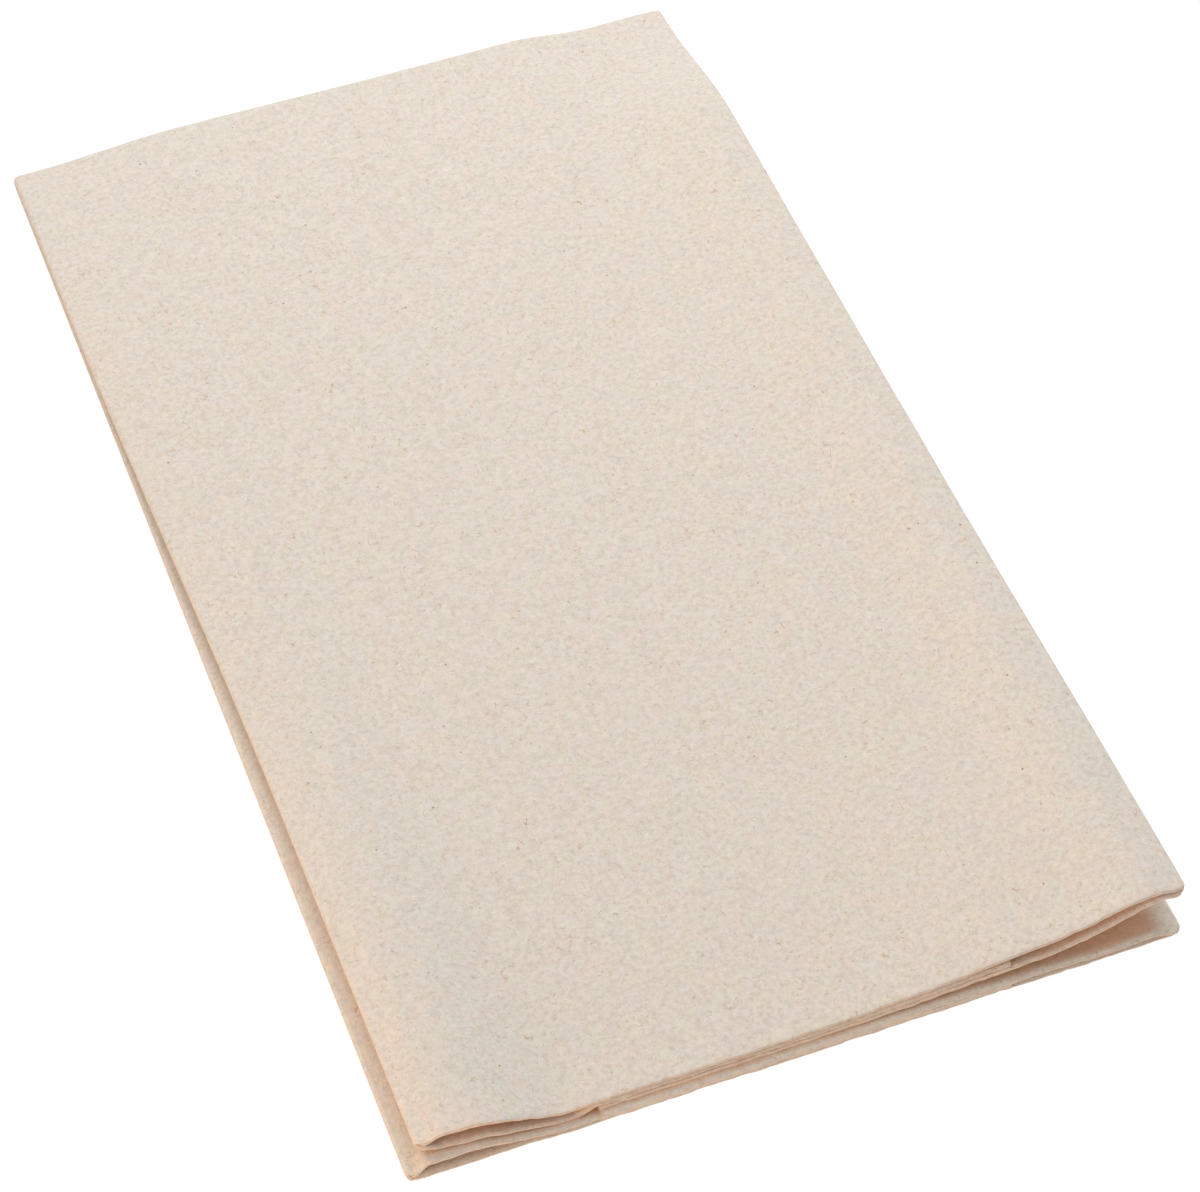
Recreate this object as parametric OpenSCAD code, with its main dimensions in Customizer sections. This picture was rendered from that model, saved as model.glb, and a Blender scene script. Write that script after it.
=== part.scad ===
// Paper guest towel: one soft sheet, both sides folded in over a middle panel,
// then folded once in half, so that six layers lie on each other.
// X runs across the towel, Y from the open end to the half fold, Z up.
// The origin is the middle of the footprint, on the surface it lies on.

/* [Sheet] */
// Width of the opened sheet
sheet_w = 304.8; // [290:0.2:320]
// Length of the opened sheet
sheet_l = 431.8; // [360:0.2:480]
// Thickness of the paper
paper_t = 0.72; // [0.5:0.02:0.9]

/* [Folds] */
// Width of the middle panel, from one side crease to the other
panel_w = 120.65; // [114:0.05:128]
// Air left between two pressed layers
layer_gap = 0.1; // [0.08:0.01:0.2]
// Air inside the nose of a side fold
nose_air = 0.26; // [0.15:0.01:0.5]
// How far the half fold reaches beyond half the sheet
turn_reach = 1; // [0:0.1:2]
// Depth of the half fold as a share of its half height
turn_roundness = 0.95; // [0.5:0.05:1]
// Extra height of the half fold at its middle
turn_puff = 0.1; // [0:0.1:1.5]
// Length over which the outer panel comes down beside a flap's free edge
flap_ramp = 16; // [8:1:22]
// Width over which the upper panel comes down beside the right flap's edge
panel_ramp = 24; // [12:1:26]
// Width over which the upper left flap comes down beside the right flap's edge
flap_drop = 4; // [3:1:20]
// Share by which the half fold holds the springy sides down
grip = 0.87; // [0.5:0.01:1]

/* [Left side folds at the open end] */
// Air inside the lower left fold
left_low_air = 2.1; // [0:0.1:3]
// Air between the two left folds
left_mid_air = 0.1; // [0:0.1:2]
// Air inside the upper left fold
left_up_air = 2.3; // [0:0.1:3]
// Width over which the lower left fold opens from its crease
left_low_crease_w = 2.5; // [1:0.5:5]
// Width over which the upper left fold opens from its crease
left_up_crease_w = 3.5; // [1:0.5:5]
// Width over which the left folds are pressed flat again
left_air_w = 16; // [10:1:24]
// Width at the left folds that stays at full height
left_full_w = 8; // [2:1:8]
// Share of the left air that is left along the rest of the fold
left_air_rest = 0.4; // [0:0.05:1]
// How far the upper left fold stands back from the lower one
left_back = 2; // [0:0.1:3]

/* [Right side folds] */
// Air inside the lower right fold
right_low_air = 0.7; // [0:0.1:2]
// Width over which the lower right fold opens from its crease
right_crease_w = 4; // [1:0.5:6]
// Air inside the upper right fold at the open end
right_up_air = 1.6; // [0:0.1:4]
// Lift of the upper half along the right side
right_lift = 3.3; // [0:0.1:6]
// More lift of the upper half close to the right folds
right_wedge = 2.6; // [0:0.1:4]
// More lift of the upper half at the open end
right_end_lift = 0.6; // [0:0.1:4]
// Lift of the upper right corner's lip
right_lip_lift = 1; // [0:0.1:4]
// How far both right folds draw in at the open end
right_draw = 1.2; // [0:0.1:2]

/* [Cut edges at the open end] */
// How far the upper half's cut edge stands back at the left
edge_back_left = 1.9; // [0:0.1:3]
// Width over which that goes over to the middle's
edge_back_left_w = 12; // [6:1:30]
// How far the lower half's cut edge stands back at the left
edge_back_low = 0.4; // [0:0.1:2]
// Width over which that dies out
edge_back_low_w = 32; // [10:1:50]
// How far it stands back in the middle
edge_back_middle = 1; // [0:0.1:3]
// How far it stands back at the right
edge_back_right = 0.8; // [0:0.1:3]
// How far each layer's edge stands back from the next one inside
edge_step = 0.15; // [0:0.05:0.4]
// Share by which the stack is pressed down in the middle of the open end
end_dip = 0.13; // [0:0.01:0.2]

/* [Hidden] */

pitch = paper_t + layer_gap;
flap_w = (sheet_w - panel_w) / 2;
folded_l = sheet_l / 2 + turn_reach;
nose_r = nose_air + paper_t / 2;

// Where the flat layers end and the noses of the side folds begin
x_left = nose_r - panel_w / 2;
x_right = panel_w / 2 - nose_r;
// Free edges of the two flaps: the left flap ends at the right, and the other way round
x_left_flap_end = flap_w - panel_w / 2;
x_right_flap_end = panel_w / 2 - flap_w;

// Height of the stack at the half fold, and where its turn begins
turn_h = 5 * pitch + paper_t + turn_puff;
y_turn = folded_l / 2 - turn_roundness * turn_h / 2;

// Distances from the side folds at which the right side's lifts begin and end
right_low_air_w = 26;
right_low_air_peak = 10;
right_wedge_w = 26;
right_up_air_w = 44;
right_up_air_peak = 11;
right_lip_w = 14;
right_lip_full = 2;
right_lift_w = 58;
// Powers that bend the right side's lifts upwards
lift_power = 1.6;
end_lift_power = 1.3;
// Share of the upper right air that stays away from the open end, and at the nose
up_air_rest = 0.15;
up_air_nose = 0.15;
// Share by which the outer panel, and not the flap, closes the upper left fold at its crease
panel_closes = 0.6;
// Shares of the length at which the corners' spring dies out, and the half fold's grip begins
left_reach = 0.5;
right_reach = 0.4;
grip_start = 0.84;
// Shares of the length between which the upper left fold comes back over the lower one
back_from = 0.3;
back_to = 0.85;
// Places across between which the dip begins and is full, and is full and ends,
// and the distance from the open end at which it has died out
dip_left = [-50, -34];
dip_right = [-8, 34];
dip_reach = 34;

// Number of steps across the left, middle and right thirds, round a nose,
// along a half and round the half fold
steps_left = 8;
steps_middle = 6;
steps_right = 7;
steps_nose = 6;
steps_along = 17;
steps_turn = 6;

// Parts of the folded section, in the order in which the sheet runs
LEFT_FLAP = 0;
LEFT_NOSE = 1;
PANEL = 2;
RIGHT_NOSE = 3;
RIGHT_FLAP = 4;

// 0 before a, 1 after b and smooth in between
function ease(a, b, v) =
    let (q = max(0, min(1, (v - a) / (b - a))))
    q * q * (3 - 2 * q);

function share(a, b, v) = max(0, min(1, (v - a) / (b - a)));

function spread(a, b, steps) = [for (i = [0 : steps]) a + (b - a) * i / steps];

function reversed(list) = [for (i = [len(list) - 1 : -1 : 0]) list[i]];

// 1 where a flap lies under the panel, falling to 0 beyond its free edge
function over_left_flap(x) =
    1 - ease(x_left_flap_end, x_left_flap_end + flap_ramp, x);
function over_right_flap(x, ramp) =
    ease(x_right_flap_end - ramp, x_right_flap_end, x);

// Freedom of the springy sides: 1 when free, less where the half fold grips them.
// s is 0 at the open end and 1 at the half fold.
function free(s) = 1 - grip * ease(grip_start, 1, s);

// Spring of the left folds over the width and the length
function left_spring(x, s) =
    (1 - ease(x_left + left_full_w, x_left + left_full_w + left_air_w, x))
    * (left_air_rest + (1 - left_air_rest) * (1 - ease(0, left_reach, s)))
    * free(s);

// Closeness to the open end, for the right side
function near(s) = 1 - ease(0, right_reach, s);

// How far a fold is shut near its crease: 1 at the crease, 0 from width w on
function shut(w, from_crease) = 1 - ease(0, w, from_crease);

function right_low_spring(x, s) =
    right_low_air * free(s)
    * ease(x_right - right_low_air_w, x_right - right_low_air_peak, x)
    * (1 - shut(right_crease_w, x_right - x));

function right_up_spring(x, s) =
    right_up_air * free(s) * (up_air_rest + (1 - up_air_rest) * near(s))
    * ease(x_right - right_up_air_w, x_right - right_up_air_peak, x)
    * (1 - (1 - up_air_nose) * ease(x_right - right_up_air_peak, x_right, x));

// Lift of the whole upper half, which opens a wedge at the right
function half_lift(x, s) =
    let (ramp = share(x_right - right_lift_w, x_right, x))
    free(s) * (right_lift * pow(ramp, lift_power)
        + right_wedge * ease(x_right - right_wedge_w, x_right, x)
        + near(s) * right_end_lift * pow(ramp, end_lift_power)
        + near(s) * right_lip_lift
            * ease(x_right - right_lip_w, x_right - right_lip_full, x));

// Crown of the outer panel towards the half fold
function crown(x, s) =
    turn_puff * (1 - near(s)) * cos(90 * share(0, panel_w / 2, abs(x)));

// Undersides of the layers, each resting on the one below or standing clear of it
function z_low_left_flap(x, s) =
    pitch + left_low_air * left_spring(x, s) * (1 - shut(left_low_crease_w, x - x_left));
function z_low_right_flap(x, s) =
    pitch * (1 + over_left_flap(x)) + right_low_spring(x, s);
function z_up_right_flap(x, s) =
    z_low_right_flap(x, s) + pitch + half_lift(x, s);
function z_up_left_flap(x, s) =
    pitch * (2 + 2 * over_right_flap(x, flap_drop)) + half_lift(x, s)
    + (left_low_air + left_mid_air) * left_spring(x, s)
    + (1 - panel_closes) * left_up_air * left_spring(x, s) * shut(left_up_crease_w, x - x_left);
function z_up_panel(x, s) =
    pitch * (1 + 2 * over_left_flap(x) + 2 * over_right_flap(x, panel_ramp))
    + half_lift(x, s) + crown(x, s)
    + (left_low_air + left_mid_air + left_up_air) * left_spring(x, s)
    - panel_closes * left_up_air * left_spring(x, s) * shut(left_up_crease_w, x - x_left)
    + right_low_spring(x, s) + right_up_spring(x, s);

// Underside of the part of the section that a sample belongs to
function z_layer(part, up, x, s) =
    part == PANEL ? (up ? z_up_panel(x, s) : 0)
    : part == LEFT_FLAP ? (up ? z_up_left_flap(x, s) : z_low_left_flap(x, s))
    : (up ? z_up_right_flap(x, s) : z_low_right_flap(x, s));

// The folds draw in by a little, and the layers beside them follow
function drawn_in(x, up, s) =
    x
    + (up ? left_back * (1 - ease(back_from, back_to, s)) : 0)
        * share(x_right_flap_end, x_left, x)
    - right_draw * (1 - s) * share(x_left_flap_end, x_right, x);

// Samples along the folded section, as [part, x or angle round the nose]
across = concat(
    spread(x_left, x_right_flap_end, steps_left),
    [for (i = [1 : steps_middle])
        x_right_flap_end + (x_left_flap_end - x_right_flap_end) * i / steps_middle],
    [for (i = [1 : steps_right])
        x_left_flap_end + (x_right - x_left_flap_end) * i / steps_right]);
section = concat(
    [for (x = reversed(across)) if (x < x_left_flap_end + layer_gap) [LEFT_FLAP, x]],
    [for (i = [1 : steps_nose - 1]) [LEFT_NOSE, 180 * i / steps_nose]],
    [for (x = across) [PANEL, x]],
    [for (i = [1 : steps_nose - 1]) [RIGHT_NOSE, 180 * i / steps_nose]],
    [for (x = reversed(across)) if (x > x_right_flap_end - layer_gap) [RIGHT_FLAP, x]]);

// A sample on a flat layer, as [x, z]. The outer face of the folded section is
// above a lower flap, under an upper flap, and away from both on the panels.
function flat_point(part, x, up, s, outer) =
    let (faces_up = (part == PANEL) == up)
    [drawn_in(x, up, s), z_layer(part, up, x, s) + (faces_up == outer ? paper_t : 0)];

// A sample round the nose of a side fold: a half ellipse from layer to layer
function nose_point(part, angle, up, s, outer) =
    let (left = part == LEFT_NOSE,
        x = left ? x_left : x_right,
        z_flap = z_layer(left ? LEFT_FLAP : RIGHT_FLAP, up, x, s),
        z_panel = z_layer(PANEL, up, x, s),
        half_h = abs(z_panel - z_flap) / 2,
        skin = (outer ? 1 : -1) * paper_t / 2,
        rise = left == up ? angle - 90 : 90 - angle)
    [drawn_in(x, up, s) + (left ? -1 : 1) * (nose_r + skin) * cos(rise),
     (z_flap + z_panel + paper_t) / 2 + (half_h + skin) * sin(rise)];

function section_point(sample, up, s, outer) =
    sample[0] == LEFT_NOSE || sample[0] == RIGHT_NOSE
        ? nose_point(sample[0], sample[1], up, s, outer)
        : flat_point(sample[0], sample[1], up, s, outer);

// How far a sample's cut edge stands back at the open end
function edge_back(sample, up) =
    let (x = sample[0] == LEFT_NOSE ? x_left
            : sample[0] == RIGHT_NOSE ? x_right : sample[1],
        step = sample[0] == PANEL ? 2 : sample[0] == RIGHT_FLAP ? 0 : 1)
    step * edge_step
    + (up ? lookup(x, [[x_left, edge_back_left],
            [x_left + edge_back_left_w, edge_back_middle],
            [0, edge_back_middle], [x_right, edge_back_right]])
        : lookup(x, [[x_left, edge_back_low], [x_left + edge_back_low_w, 0]]));

// Shares of the length at which the section is placed, closer at the open end
along = [for (i = [0 : steps_along]) pow(i / steps_along, 1.25)];

// One run of a sample along the lower or the upper half
function half_run(sample, up, outer) =
    let (y_cut = edge_back(sample, up) - folded_l / 2)
    [for (s = along)
        let (p = section_point(sample, up, s, outer))
        [p[0], y_cut + (y_turn - y_cut) * s, p[1]]];

// A sample's way round the half fold: a half ellipse from the lower to the upper half
function turn_run(sample, outer) =
    let (low = section_point(sample, false, 1, outer),
        high = section_point(sample, true, 1, outer),
        half_h = (high[1] - low[1]) / 2)
    [for (i = [1 : steps_turn - 1])
        let (rise = 180 * i / steps_turn - 90)
        [(low[0] + high[0]) / 2,
         y_turn + turn_roundness * half_h * cos(rise),
         (low[1] + high[1]) / 2 + half_h * sin(rise)]];

// A point after the whole stack is pressed down a little at its open end. Heights
// shrink by a share that depends on the place alone, so the layers stay in order.
function settled(p) =
    let (across_share = ease(dip_left[0], dip_left[1], p[0])
            * (1 - ease(dip_right[0], dip_right[1], p[0])),
        along_share = 1 - ease(0, dip_reach, p[1] + folded_l / 2))
    [p[0], p[1], p[2] * (1 - end_dip * across_share * along_share)];

// The whole way of a sample: in along the lower half, round, and back along the upper
function sample_run(sample, outer) =
    [for (p = concat(half_run(sample, false, outer), turn_run(sample, outer),
            reversed(half_run(sample, true, outer)))) settled(p)];

// The closed skin of the sheet: outer face, inner face and the cut edges between
module folded_sheet() {
    rows = len(section);
    stops = 2 * len(along) + steps_turn - 1;
    function id(face, row, stop) = (face * rows + row) * stops + stop;
    // Both faces split their quads along the same diagonal, seen from above
    function straight(row, stop) =
        (section[row][0] == PANEL) == (stop < stops / 2);
    function quad(a, b, c, d, cut) = cut ? [[a, c, b], [a, d, c]] : [[a, d, b], [b, d, c]];
    skin = [for (row = [0 : rows - 2], stop = [0 : stops - 2])
        for (f = concat(
            quad(id(0, row, stop), id(0, row, stop + 1), id(0, row + 1, stop + 1),
                id(0, row + 1, stop), straight(row, stop)),
            quad(id(1, row + 1, stop), id(1, row + 1, stop + 1), id(1, row, stop + 1),
                id(1, row, stop), !straight(row, stop)))) f];
    flap_edges = [for (stop = [0 : stops - 2])
        for (f = concat(
            quad(id(1, 0, stop), id(1, 0, stop + 1), id(0, 0, stop + 1),
                id(0, 0, stop), true),
            quad(id(0, rows - 1, stop), id(0, rows - 1, stop + 1),
                id(1, rows - 1, stop + 1), id(1, rows - 1, stop), true))) f];
    cut_edges = [for (row = [0 : rows - 2])
        for (f = concat(
            quad(id(1, row + 1, 0), id(1, row, 0), id(0, row, 0),
                id(0, row + 1, 0), true),
            quad(id(0, row + 1, stops - 1), id(0, row, stops - 1),
                id(1, row, stops - 1), id(1, row + 1, stops - 1), true))) f];
    polyhedron(
        points = concat(
            [for (sample = section) each sample_run(sample, true)],
            [for (sample = section) each sample_run(sample, false)]),
        faces = concat(skin, flap_edges, cut_edges),
        convexity = 10);
}

module towel() {
    color([0.86, 0.81, 0.75]) folded_sheet();
}

towel();
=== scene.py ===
"""Soft paper guest towel: a sheet folded in on both sides and then in half, lying flat."""

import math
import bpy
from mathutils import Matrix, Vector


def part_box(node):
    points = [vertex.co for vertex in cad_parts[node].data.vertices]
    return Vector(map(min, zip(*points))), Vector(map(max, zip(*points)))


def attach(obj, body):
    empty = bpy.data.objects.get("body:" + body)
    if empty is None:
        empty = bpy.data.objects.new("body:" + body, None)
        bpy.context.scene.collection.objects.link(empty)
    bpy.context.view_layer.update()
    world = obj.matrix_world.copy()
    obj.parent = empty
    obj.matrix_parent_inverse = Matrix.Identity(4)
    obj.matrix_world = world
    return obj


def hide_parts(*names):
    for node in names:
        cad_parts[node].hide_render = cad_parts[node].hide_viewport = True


bl_info = {
    "name": "Folded Paper Guest Towel",
    "version": (1, 0, 0),
    "blender": (4, 5, 0),
    "location": "View3D > Sidebar > Towel",
    "description": "Builds a soft folded paper guest towel with its paper, floor, lamps and camera",
    "category": "Add Mesh",
}

import bpy
import numpy as np
from bpy.props import FloatProperty, FloatVectorProperty, IntProperty, PointerProperty
from mathutils import Matrix, Vector

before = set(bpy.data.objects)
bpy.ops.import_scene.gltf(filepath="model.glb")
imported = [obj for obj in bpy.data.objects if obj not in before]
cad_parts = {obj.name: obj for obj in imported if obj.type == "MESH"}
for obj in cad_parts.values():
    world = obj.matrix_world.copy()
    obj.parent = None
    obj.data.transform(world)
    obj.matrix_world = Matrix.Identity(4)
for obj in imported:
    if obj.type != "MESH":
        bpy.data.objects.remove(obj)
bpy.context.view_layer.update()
LOW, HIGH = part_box("towel")
MM = 0.001

# Parts of the folded section, in the order in which the sheet runs across
LEFT_FLAP, LEFT_NOSE, PANEL, RIGHT_NOSE, RIGHT_FLAP = range(5)
# Distances from the open end at which the strip of fine mesh has its stops, in millimetres
END_STRIP = np.array([0.0, 0.06, 0.16, 0.32, 0.55, 0.9, 1.4, 2.1])
# Distances from a flap's free edge at which the mesh has its first rows, in millimetres
FLAP_STRIP = np.array([0.0, 0.03, 0.10, 0.22, 0.40])
# Distance that stands for parts without a free edge
NO_EDGE = 10 * MM
# Power that crowds the stops towards the open end
CROWDING = 1.12
# Share of a worn corner's quarter circle that is used, so that its end isn't too steep
CORNER_SHARE = 0.93

# Cells of the lattice of random values, across and along
LATTICE = (97, 89)
# Offset in metres that keeps places on it positive
OFFSET = 3.0
# Waves of the cut edges: start of the draw, share, lattice place and size in millimetres
EDGE_WAVES = ((11, 0.40, 0.0, 7.3), (21, 0.35, 0.5, 2.9), (41, 0.45, 0.5, 1.1))
# Waves of the stack's height: start of the draw, share and size in millimetres
HEIGHT_WAVES = ((1, 1.0, 31), (2, 0.6, 13))
# Wave of the flaps' free edges: start of the draw, lattice place, size and reach in millimetres
FREE_EDGE_WAVE = (5, 0.3, 2.3, 6)
# Size of the nap's unevenness, and the height above the floor at which it is full, in millimetres
NAP_SIZE, NAP_FULL = 2.6, 2
# Starts of the nap's draws: on the outer and on the inner face
NAP_DRAWS = (31, 32)

# Painted shade inside the folds, darker deeper in where less light reaches: steps of a share and
# two distances from the cut edge in millimetres, of which negative ones lie before the edge
IN_LOW_FOLD = ((0.2, -2.0, -1.0), (0.8, 0.2, 2.6))
IN_UP_FOLD = ((0.55, -0.2, 0.6), (0.45, 0.6, 1.8))
# Painted shade between the halves, in millimetres: where it grows on the lower and on the upper
# half, from the upper half's cut edge, and on both, from the side folds
BETWEEN_LOW, BETWEEN_UP, BESIDE_NOSE = (-0.7, 0.5), (0.0, 1.0), (0.5, 5.0)
# Painted shade in the gap at the right: its share at the fold, and the distances from the fold,
# in millimetres, between which it grows to full
GAP_SHARE, GAP_CLOSES = 0.8, (12, 60)
# Painted shade on the cut edges: the lower half's at the open end, and the others
LOW_RIM, OTHER_RIMS = 0.05, 0.3
# Width of the opened sheet's map, both faces side by side, as a share of the sheet's
MAP_ROOM = 2.05
# The cut edges' place in the map: their first row, and the step from one row to the next
RIM_MAP_LOW, RIM_MAP_STEP = 0.75, 0.01
# Size of one cell of a cut edge in the map, in millimetres
RIM_CELL = (0.5, 0.7)

WHITE = (1.0, 1.0, 1.0, 1.0)
# Noise between these values blends one tint into another
CLOUD_BLEND = (0.36, 0.64)
# Hollows squared at the grain's middle value
HOLLOW_MIDDLE = 0.25
# Brown fibres: half width of a line in the noise, size of the noise that breaks them as a share
# of theirs, their strength, and where that noise and the patches let them through
FIBRE_LINE, FIBRE_BREAK, FIBRE_STRENGTH = 0.035, 0.6, 0.7
FIBRE_KEPT, FIBRE_PATCH = (0.50, 0.66), (0.35, 0.65)
# Dark specks: outer and inner radius in cells, which cells hold one, and their strength
SPECK_RADIUS, SPECK_CHOSEN, SPECK_STRENGTH = (0.085, 0.03), (0.72, 0.98), 0.8

# Floor: its side in metres, the colour of the light that it sends back up, how far it shows a
# shadow to the camera, and its own glow there
FLOOR_SIDE, FLOOR_LIGHT = 6.0, (0.86, 0.78, 0.70, 1.0)
FLOOR_SHADE, FLOOR_GLOW = (0.14, 0.14, 0.14, 1.0), 0.94
# Camera: width of its sensor in millimetres, and how far it sees in metres
SENSOR_WIDTH, SIGHT = 36.0, 10.0


def length(name, default_mm, description, low_mm=0.0, high_mm=1000.0):
    """A length property, given in millimetres and kept in metres."""
    return FloatProperty(
        name=name, description=description, default=default_mm * MM,
        min=low_mm * MM, max=high_mm * MM, unit="LENGTH", precision=5)


def amount(name, default, description, low=0.0, high=1.0):
    """A plain number property."""
    return FloatProperty(name=name, description=description, default=default, min=low, max=high)


def count(name, default, description, low=1):
    """A whole number property."""
    return IntProperty(name=name, description=description, default=default, min=low)


def colour(name, default, description):
    """A colour property, in linear light."""
    return FloatVectorProperty(
        name=name, description=description, default=default, size=3, subtype="COLOR",
        min=0.0, max=1.0)


def angle(name, default_degrees, description):
    """An angle property, given in degrees and kept in radians."""
    return FloatProperty(
        name=name, description=description, default=math.radians(default_degrees), unit="ROTATION")


def place(name, default_mm, description):
    """A place in space, given in millimetres and kept in metres."""
    return FloatVectorProperty(
        name=name, description=description, default=[v * MM for v in default_mm], size=3,
        subtype="TRANSLATION", unit="LENGTH")


class TowelSheet(bpy.types.PropertyGroup):
    """Sizes of the sheet and of its folds."""

    sheet_w: length("Sheet width", 304.8, "Width of the opened sheet")
    sheet_l: length("Sheet length", 431.8, "Length of the opened sheet")
    paper_t: length("Paper thickness", 0.72, "Thickness of the paper", 0.3, 1.2)
    layer_gap: length("Layer gap", 0.1, "Air left between two pressed layers", 0.05, 0.5)
    nose_air: length("Nose air", 0.26, "Air inside the nose of a side fold", 0.1, 1.0)
    flap_ramp: length("Flap ramp", 16.0, "Width of the slope beside the left flap's edge")
    panel_ramp: length("Panel ramp", 24.0, "Width of the panel's slope beside the right flap's edge")
    flap_drop: length("Flap drop", 4.0, "Width of the left flap's slope beside the right flap's edge")
    turn_roundness: amount("Half fold roundness", 0.95, "Its depth as a share of half its height")
    turn_puff: length("Half fold puff", 0.1, "Extra height of the half fold at its middle")


class TowelSpring(bpy.types.PropertyGroup):
    """How the soft folds spring open."""

    left_low_air: length("Lower left air", 2.1, "Air inside the lower left fold")
    left_mid_air: length("Left air between", 0.1, "Air between the two left folds")
    left_up_air: length("Upper left air", 2.3, "Air inside the upper left fold")
    left_air_rest: amount("Left air share", 0.4, "Share of the left air along the rest of the fold")
    panel_closes: amount("Panel closes", 0.6, "The panel's share in closing the upper left fold")
    left_back: length("Left step back", 2.0, "How far the upper left fold stands back")
    right_low_air: length("Lower right air", 0.7, "Air inside the lower right fold")
    right_up_air: length("Upper right air", 1.6, "Air inside the upper right fold at the open end")
    up_air_rest: amount("Upper right air share", 0.15, "Share of that air away from the open end")
    up_air_nose: amount("Upper right air at nose", 0.15, "Share of that air at the fold's nose")
    right_lift: length("Right lift", 3.3, "Lift of the upper half along the right side")
    right_wedge: length("Right wedge", 2.6, "More lift of the upper half close to the right folds")
    right_end_lift: length("Right end lift", 0.6, "More lift of the upper half at the open end")
    right_lip_lift: length("Right lip lift", 1.0, "Lift of the upper right corner's lip")
    lift_power: amount("Lift power", 1.6, "Power that bends the right lift upwards", 1.0, 4.0)
    end_lift_power: amount("End lift power", 1.3, "Power that bends the end lift upwards", 1.0, 4.0)
    right_draw: length("Right draw", 1.2, "How far both right folds draw in at the open end")
    grip: amount("Half fold grip", 0.87, "Share by which the half fold holds the sides down")
    end_dip: amount("Open end dip", 0.13, "Share by which the open end is pressed down")


class TowelReach(bpy.types.PropertyGroup):
    """How far each fold's spring reaches, across from its crease and along from the open end."""

    left_full_w: length("Left full width", 8.0, "Width at the left folds that stays at full height")
    left_air_w: length("Left air width", 16.0, "Width over which they are pressed flat again")
    left_low_crease_w: length("Lower left crease", 2.5, "Width over which the lower left fold opens")
    left_up_crease_w: length("Upper left crease", 3.5, "Width over which the upper left fold opens")
    right_crease_w: length("Right crease", 4.0, "Width over which the lower right fold opens")
    right_low_air_w: length("Lower right air width", 26.0, "Where the lower right air begins")
    right_low_air_peak: length("Lower right air peak", 10.0, "Where the lower right air is full")
    right_up_air_w: length("Upper right air width", 44.0, "Where the upper right air begins")
    right_up_air_peak: length("Upper right air peak", 11.0, "Where the upper right air is full")
    right_lift_w: length("Right lift width", 58.0, "Where the lift of the upper half begins")
    right_wedge_w: length("Right wedge width", 26.0, "Where the wedge begins")
    right_lip_w: length("Right lip width", 14.0, "Where the corner's lip begins")
    right_lip_full: length("Right lip full", 2.0, "Where the corner's lip is full")
    left_reach: amount("Left reach", 0.5, "Share of the length where the left spring ends")
    right_reach: amount("Right reach", 0.4, "Share of the length where the right spring ends")
    grip_start: amount("Grip start", 0.84, "Share of the length where the half fold's grip begins")
    back_from: amount("Step back from", 0.3, "Share of the length up to which the left step stays")
    back_to: amount("Step back to", 0.85, "Share of the length where the left step is gone")
    dip_left_from: length("Dip begins", -50.0, "Place across where it begins", -1000.0)
    dip_left_to: length("Dip is full", -34.0, "Place across where it is full", -1000.0)
    dip_right_from: length("Dip fades", -8.0, "Place across where it starts to fade", -1000.0)
    dip_right_to: length("Dip ends", 34.0, "Place across where it ends", -1000.0)
    dip_reach: length("Dip reach", 34.0, "Distance from the open end where it ends")


class TowelEdges(bpy.types.PropertyGroup):
    """Cut edges at the open end, and the unevenness of the paper."""

    back_left: length("Back at left", 1.9, "How far the upper half's cut edge stands back at the left")
    back_left_w: length("Back at left width", 12.0, "Width over which that changes to the middle's")
    back_middle: length("Back at middle", 1.0, "How far it stands back in the middle")
    back_right: length("Back at right", 0.8, "How far it stands back at the right")
    back_low: length("Lower half back", 0.4, "How far the lower half's stands back at the left")
    back_low_w: length("Lower half back width", 32.0, "Width over which that dies out")
    edge_step: length("Edge step", 0.15, "How far each layer's edge stands back from the next")
    corner: length("Corner radius", 1.3, "Radius of the worn corners at the open end")
    flare: amount("Edge flare", 0.11, "Share by which the paper is fluffed up at a cut edge")
    flare_w: length("Flare width", 0.5, "Width over which it is fluffed up")
    bevel: amount("Edge bevel", 0.9, "Share by which a cut edge's upper side is worn down")
    bevel_w: length("Bevel width", 0.9, "Width of that worn strip")
    wander: length("Edge wander", 0.22, "How far a cut edge wanders from straight")
    cockle: amount("Cockle", 0.02, "Slow unevenness of the stack's height, as a share")
    nap: length("Nap", 0.02, "Height of the soft unevenness of the paper's faces", 0.0, 0.1)
    seed: count("Seed", 7, "Start of the random draws", 0)


class TowelMesh(bpy.types.PropertyGroup):
    """Fineness of the mesh."""

    cell_across: length("Cell across", 1.8, "Distance between two rows of the mesh", 1.0, 10.0)
    cell_along: length("Cell along", 2.5, "Distance between two stops of the mesh", 1.0, 10.0)
    edge_splits: count("Edge splits", 4, "Fine rows to one row, close to the cut edges")
    nose_steps: count("Nose steps", 12, "Steps round a side fold's nose", 4)
    turn_steps: count("Turn steps", 14, "Steps round the half fold", 4)


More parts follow.
